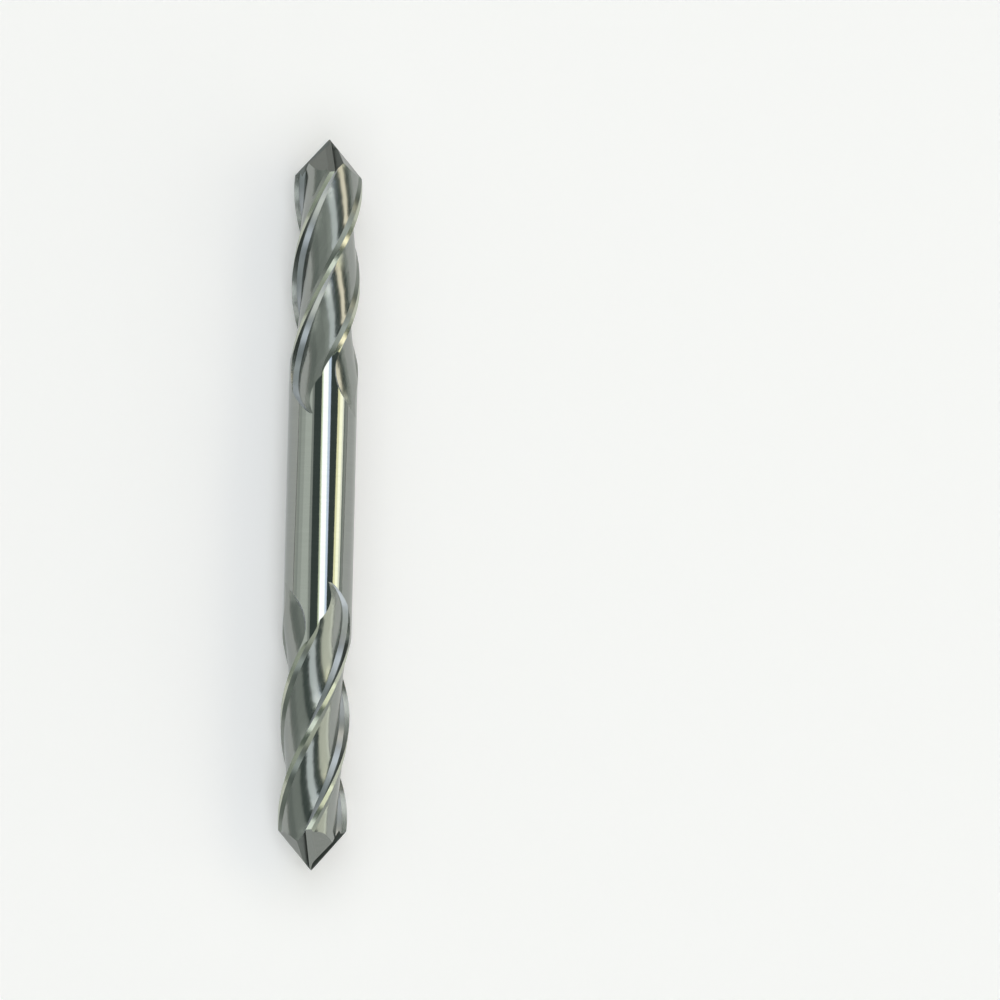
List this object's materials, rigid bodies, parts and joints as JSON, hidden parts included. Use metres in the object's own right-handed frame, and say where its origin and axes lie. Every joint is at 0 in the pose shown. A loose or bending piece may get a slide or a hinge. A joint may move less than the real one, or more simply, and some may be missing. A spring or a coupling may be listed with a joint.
{
  "type": "chamfer mill",
  "caption": "Double-ended solid carbide chamfer mill: a pointed, helically fluted cutter on each end of a plain round shank.",
  "frame": {"origin": "on the tool's axis, halfway along the plain shank", "axes": "+Y along the axis towards the first point, +Z the side seen from above in the picture, +X to the right"},
  "size_m": [0.0048, 0.0508, 0.0048],
  "materials": {
    "carbide": "ground and polished"
  },
  "bodies": {
    "root": {"chamfer_mill": "carbide"}
  },
  "joints": []
}
